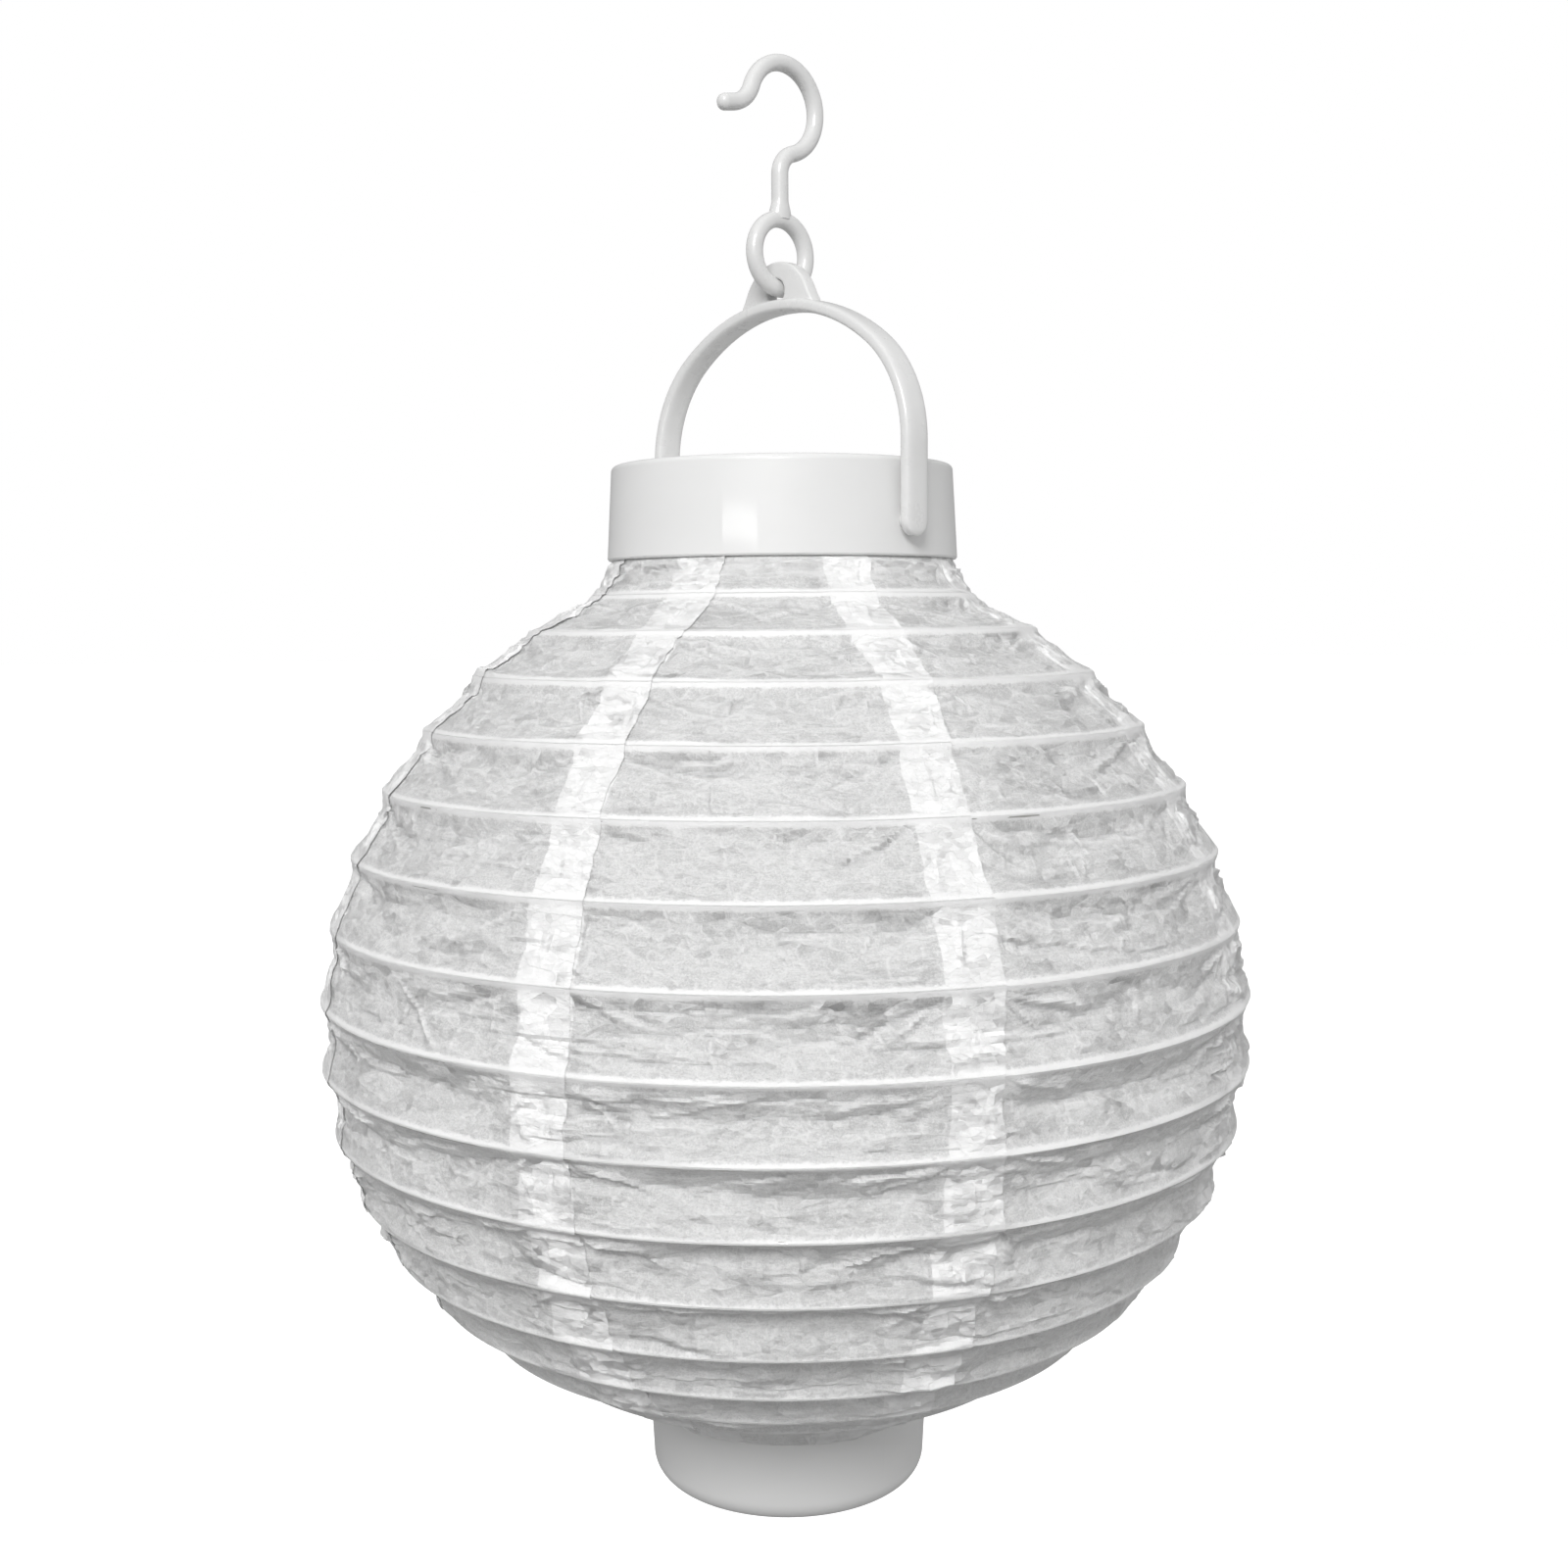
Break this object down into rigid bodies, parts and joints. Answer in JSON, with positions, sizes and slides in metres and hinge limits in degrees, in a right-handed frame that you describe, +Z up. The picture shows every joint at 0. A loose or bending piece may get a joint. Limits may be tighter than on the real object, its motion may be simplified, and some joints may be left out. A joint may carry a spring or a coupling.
{
  "type": "accordion paper lantern",
  "caption": "Round white accordion paper lantern with wire rings, a battery cap with a swinging handle and hanging hook, and a small bottom cup.",
  "frame": {"origin": "the seat under the crown of the hook, where a line, nail or branch carries it", "axes": "+Z up along the lantern's axis, X along the handle's pivot axis, Y across it in the plane of the hook"},
  "size_m": [0.2026, 0.2026, 0.313],
  "materials": {
    "hook_plastic": "glossy white moulding",
    "handle_plastic": "glossy white moulding",
    "cap_plastic": "glossy white moulding",
    "inner_plastic": "satin white moulding",
    "paper": "thin crinkled white rice paper",
    "ring_wire": "drawn wire",
    "screw_steel": "bright zinc",
    "contact_steel": "bright nickel",
    "cell_can": "plain sleeved can",
    "switch_black": "matt black",
    "board_green": "solder mask",
    "lamp_clear": "clear epoxy, warm",
    "lead_red": "PVC sleeve",
    "lead_black": "PVC sleeve"
  },
  "bodies": {
    "hook": {"hanging_hook": "hook_plastic"},
    "handle": {"carry_handle": "handle_plastic"},
    "cap": {"cap_shell": "cap_plastic", "battery_tray": "inner_plastic", "battery_cell_left": "cell_can", "battery_cell_right": "cell_can", "contact_springs": "contact_steel", "contact_bridge": "contact_steel", "contact_plates": "contact_steel", "switch_body": "switch_black", "under_cover": "inner_plastic", "cover_screws": "screw_steel", "led_holder": "inner_plastic", "led_board": "board_green", "led_lamps": "lamp_clear", "lead_wire_red": "lead_red", "lead_wire_black": "lead_black", "lead_wire_switch": "lead_red", "shade_collar": "inner_plastic", "paper_gore_1": "paper", "paper_gore_2": "paper", "paper_gore_3": "paper", "paper_gore_4": "paper", "paper_gore_5": "paper", "paper_gore_6": "paper", "paper_gore_7": "paper", "paper_gore_8": "paper"},
    "door": {"battery_door": "cap_plastic", "door_screw": "screw_steel"},
    "knob": {"switch_knob": "cap_plastic"},
    "ring_01": {"shade_ring_01": "ring_wire"},
    "ring_02": {"shade_ring_02": "ring_wire"},
    "ring_03": {"shade_ring_03": "ring_wire"},
    "ring_04": {"shade_ring_04": "ring_wire"},
    "ring_05": {"shade_ring_05": "ring_wire"},
    "ring_06": {"shade_ring_06": "ring_wire"},
    "ring_07": {"shade_ring_07": "ring_wire"},
    "ring_08": {"shade_ring_08": "ring_wire"},
    "ring_09": {"shade_ring_09": "ring_wire"},
    "ring_10": {"shade_ring_10": "ring_wire"},
    "ring_11": {"shade_ring_11": "ring_wire"},
    "ring_12": {"shade_ring_12": "ring_wire"},
    "ring_13": {"shade_ring_13": "ring_wire"},
    "ring_14": {"shade_ring_14": "ring_wire"},
    "ring_15": {"shade_ring_15": "ring_wire"},
    "ring_16": {"shade_ring_16": "ring_wire"},
    "base": {"bottom_cup": "cap_plastic", "cup_clamp_ring": "inner_plastic"}
  },
  "joints": [
    {"name": "hook_swing", "type": "hinge", "parent": "hook", "child": "handle", "pos_m": [0, 0, -0.04666], "axis": [0, 1, 0], "range_deg": [-70, 70]},
    {"name": "handle_pivot", "type": "hinge", "parent": "handle", "child": "cap", "pos_m": [0, 0, -0.0973], "axis": [1, 0, 0], "range_deg": [-85, 85]},
    {"name": "battery_door_lift", "type": "slide", "parent": "cap", "child": "door", "axis": [0, 0, 1], "range_m": [0, 0.025]},
    {"name": "switch_slide", "type": "slide", "parent": "cap", "child": "knob", "axis": [0, 1, 0], "range_m": [0, 0.004]},
    {"name": "accordion", "type": "slide", "parent": "cap", "child": "base", "axis": [0, 0, 1], "range_m": [0, 0.163], "deforming": ["paper_gore_1", "paper_gore_2", "paper_gore_3", "paper_gore_4", "paper_gore_5", "paper_gore_6", "paper_gore_7", "paper_gore_8"]},
    {"name": "ring_01_rise", "type": "slide", "parent": "cap", "child": "ring_01", "axis": [0, 0, 1], "range_m": [0, 0.0073]},
    {"name": "ring_02_rise", "type": "slide", "parent": "cap", "child": "ring_02", "axis": [0, 0, 1], "range_m": [0, 0.0137]},
    {"name": "ring_03_rise", "type": "slide", "parent": "cap", "child": "ring_03", "axis": [0, 0, 1], "range_m": [0, 0.0219]},
    {"name": "ring_04_rise", "type": "slide", "parent": "cap", "child": "ring_04", "axis": [0, 0, 1], "range_m": [0, 0.0317]},
    {"name": "ring_05_rise", "type": "slide", "parent": "cap", "child": "ring_05", "axis": [0, 0, 1], "range_m": [0, 0.0427]},
    {"name": "ring_06_rise", "type": "slide", "parent": "cap", "child": "ring_06", "axis": [0, 0, 1], "range_m": [0, 0.0548]},
    {"name": "ring_07_rise", "type": "slide", "parent": "cap", "child": "ring_07", "axis": [0, 0, 1], "range_m": [0, 0.0676]},
    {"name": "ring_08_rise", "type": "slide", "parent": "cap", "child": "ring_08", "axis": [0, 0, 1], "range_m": [0, 0.0809]},
    {"name": "ring_09_rise", "type": "slide", "parent": "cap", "child": "ring_09", "axis": [0, 0, 1], "range_m": [0, 0.0933]},
    {"name": "ring_10_rise", "type": "slide", "parent": "cap", "child": "ring_10", "axis": [0, 0, 1], "range_m": [0, 0.1055]},
    {"name": "ring_11_rise", "type": "slide", "parent": "cap", "child": "ring_11", "axis": [0, 0, 1], "range_m": [0, 0.1171]},
    {"name": "ring_12_rise", "type": "slide", "parent": "cap", "child": "ring_12", "axis": [0, 0, 1], "range_m": [0, 0.1277]},
    {"name": "ring_13_rise", "type": "slide", "parent": "cap", "child": "ring_13", "axis": [0, 0, 1], "range_m": [0, 0.1372]},
    {"name": "ring_14_rise", "type": "slide", "parent": "cap", "child": "ring_14", "axis": [0, 0, 1], "range_m": [0, 0.1453]},
    {"name": "ring_15_rise", "type": "slide", "parent": "cap", "child": "ring_15", "axis": [0, 0, 1], "range_m": [0, 0.1518]},
    {"name": "ring_16_rise", "type": "slide", "parent": "cap", "child": "ring_16", "axis": [0, 0, 1], "range_m": [0, 0.1566]}
  ],
  "couplings": [
    {"joint": "ring_01_rise", "follows": "accordion", "ratio": 0.04367},
    {"joint": "ring_02_rise", "follows": "accordion", "ratio": 0.08341},
    {"joint": "ring_03_rise", "follows": "accordion", "ratio": 0.1337},
    {"joint": "ring_04_rise", "follows": "accordion", "ratio": 0.19339},
    {"joint": "ring_05_rise", "follows": "accordion", "ratio": 0.26107},
    {"joint": "ring_06_rise", "follows": "accordion", "ratio": 0.33517},
    {"joint": "ring_07_rise", "follows": "accordion", "ratio": 0.41397},
    {"joint": "ring_08_rise", "follows": "accordion", "ratio": 0.49563},
    {"joint": "ring_09_rise", "follows": "accordion", "ratio": 0.57158},
    {"joint": "ring_10_rise", "follows": "accordion", "ratio": 0.64637},
    {"joint": "ring_11_rise", "follows": "accordion", "ratio": 0.7172},
    {"joint": "ring_12_rise", "follows": "accordion", "ratio": 0.7828},
    {"joint": "ring_13_rise", "follows": "accordion", "ratio": 0.84106},
    {"joint": "ring_14_rise", "follows": "accordion", "ratio": 0.89056},
    {"joint": "ring_15_rise", "follows": "accordion", "ratio": 0.93033},
    {"joint": "ring_16_rise", "follows": "accordion", "ratio": 0.95995}
  ]
}
